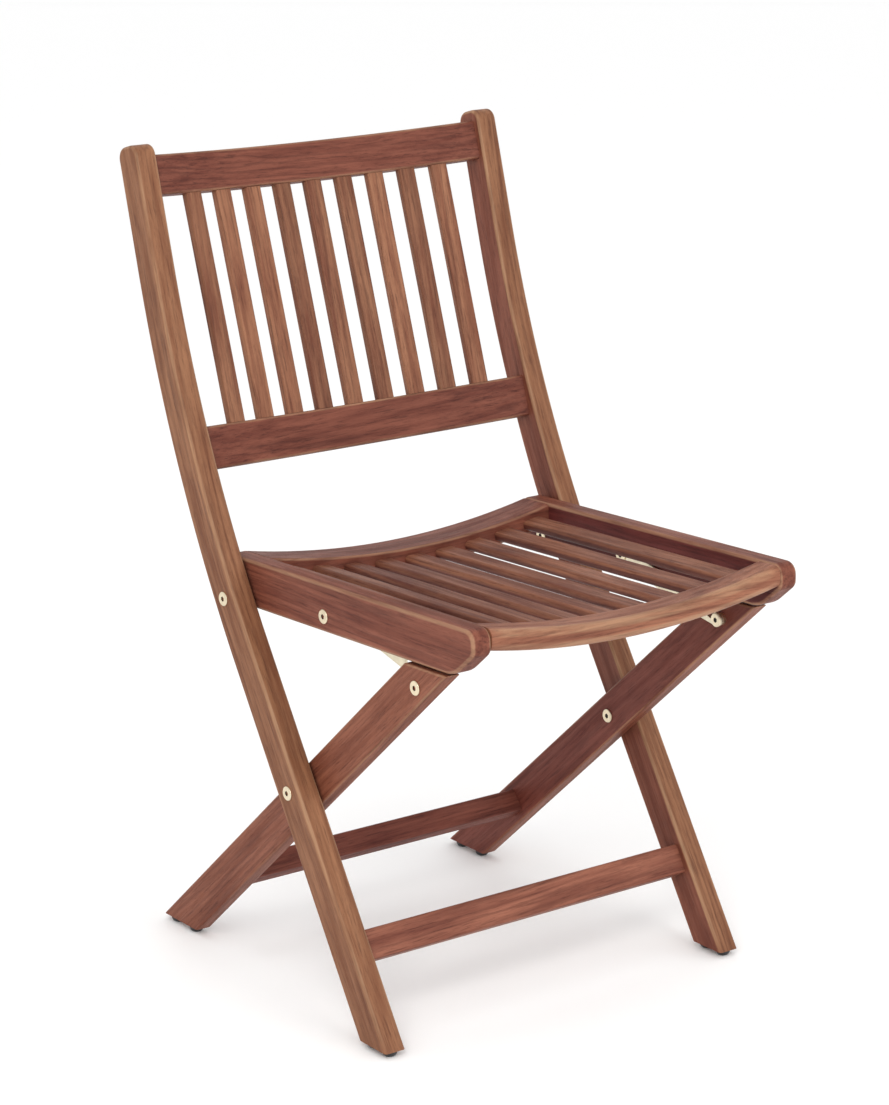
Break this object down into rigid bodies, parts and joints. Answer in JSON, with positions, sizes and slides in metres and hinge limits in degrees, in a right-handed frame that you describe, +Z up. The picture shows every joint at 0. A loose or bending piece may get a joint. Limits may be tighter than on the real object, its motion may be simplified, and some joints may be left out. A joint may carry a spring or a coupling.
{
  "type": "folding chair",
  "caption": "Folding hardwood chair with a dished slatted seat, a bowed slatted back, crossed legs and slotted brass stays.",
  "frame": {"origin": "on the floor, under the middle of the open chair's box", "axes": "+Z up; the chair faces -Y; X runs across it, and it is the same on both sides of X = 0"},
  "size_m": [0.4872, 0.6086, 0.8931],
  "materials": {
    "post": "oiled hardwood, satin, grain along the post",
    "rail": "oiled hardwood, satin, grain along the rail",
    "back_slat": "oiled hardwood, satin, grain along the slat",
    "seat_slat": "oiled hardwood, satin, grain along the slat",
    "bolt": "bright brass, lightly dulled",
    "stay": "pale brass, satin",
    "glide": "black, smooth"
  },
  "bodies": {
    "back_frame": {"left_post": "post", "right_post": "post", "back_top_rail": "rail", "back_bottom_rail": "rail", "back_slat_1": "back_slat", "back_slat_2": "back_slat", "back_slat_3": "back_slat", "back_slat_4": "back_slat", "back_slat_5": "back_slat", "back_slat_6": "back_slat", "back_slat_7": "back_slat", "back_slat_8": "back_slat", "back_slat_9": "back_slat", "front_stretcher": "rail", "cross_nuts": "bolt", "cross_bolts": "bolt", "cross_washers": "bolt", "seat_pivot_nuts": "bolt", "seat_pivot_bolts": "bolt", "seat_washers": "bolt", "post_glides": "glide"},
    "leg_frame": {"left_rear_leg": "post", "right_rear_leg": "post", "rear_stretcher": "rail", "leg_glides": "glide", "guide_nuts": "bolt", "guide_bolts": "bolt", "guide_spacers": "bolt"},
    "seat_frame": {"left_side_rail": "rail", "right_side_rail": "rail", "seat_front_rail": "rail", "seat_rear_rail": "rail", "seat_slat_1": "seat_slat", "seat_slat_2": "seat_slat", "seat_slat_3": "seat_slat", "seat_slat_4": "seat_slat", "seat_slat_5": "seat_slat", "seat_slat_6": "seat_slat", "seat_slat_7": "seat_slat", "seat_slat_8": "seat_slat", "seat_slat_9": "seat_slat", "stay_nuts": "bolt", "stay_bolts": "bolt"},
    "left_stay": {"left_stay": "stay"},
    "right_stay": {"right_stay": "stay"}
  },
  "joints": [
    {"name": "leg_fold", "type": "hinge", "parent": "back_frame", "child": "leg_frame", "pos_m": [0, -0.01885, 0.24289], "axis": [-1, 0, 0], "range_deg": [0, 62]},
    {"name": "seat_fold", "type": "hinge", "parent": "back_frame", "child": "seat_frame", "pos_m": [0, 0.09856, 0.42892], "axis": [-1, 0, 0], "range_deg": [0, 93]},
    {"name": "left_stay_swing", "type": "hinge", "parent": "seat_frame", "child": "left_stay", "pos_m": [0, -0.04757, 0.43901], "axis": [1, 0, 0], "range_deg": [0, 129.58]},
    {"name": "right_stay_swing", "type": "hinge", "parent": "seat_frame", "child": "right_stay", "pos_m": [0, -0.04757, 0.43901], "axis": [1, 0, 0], "range_deg": [0, 129.58]}
  ],
  "couplings": [
    {"joint": "seat_fold", "follows": "leg_fold", "ratio": 1.5},
    {"joint": "left_stay_swing", "follows": "leg_fold", "ratio": 2.09},
    {"joint": "right_stay_swing", "follows": "leg_fold", "ratio": 2.09}
  ]
}
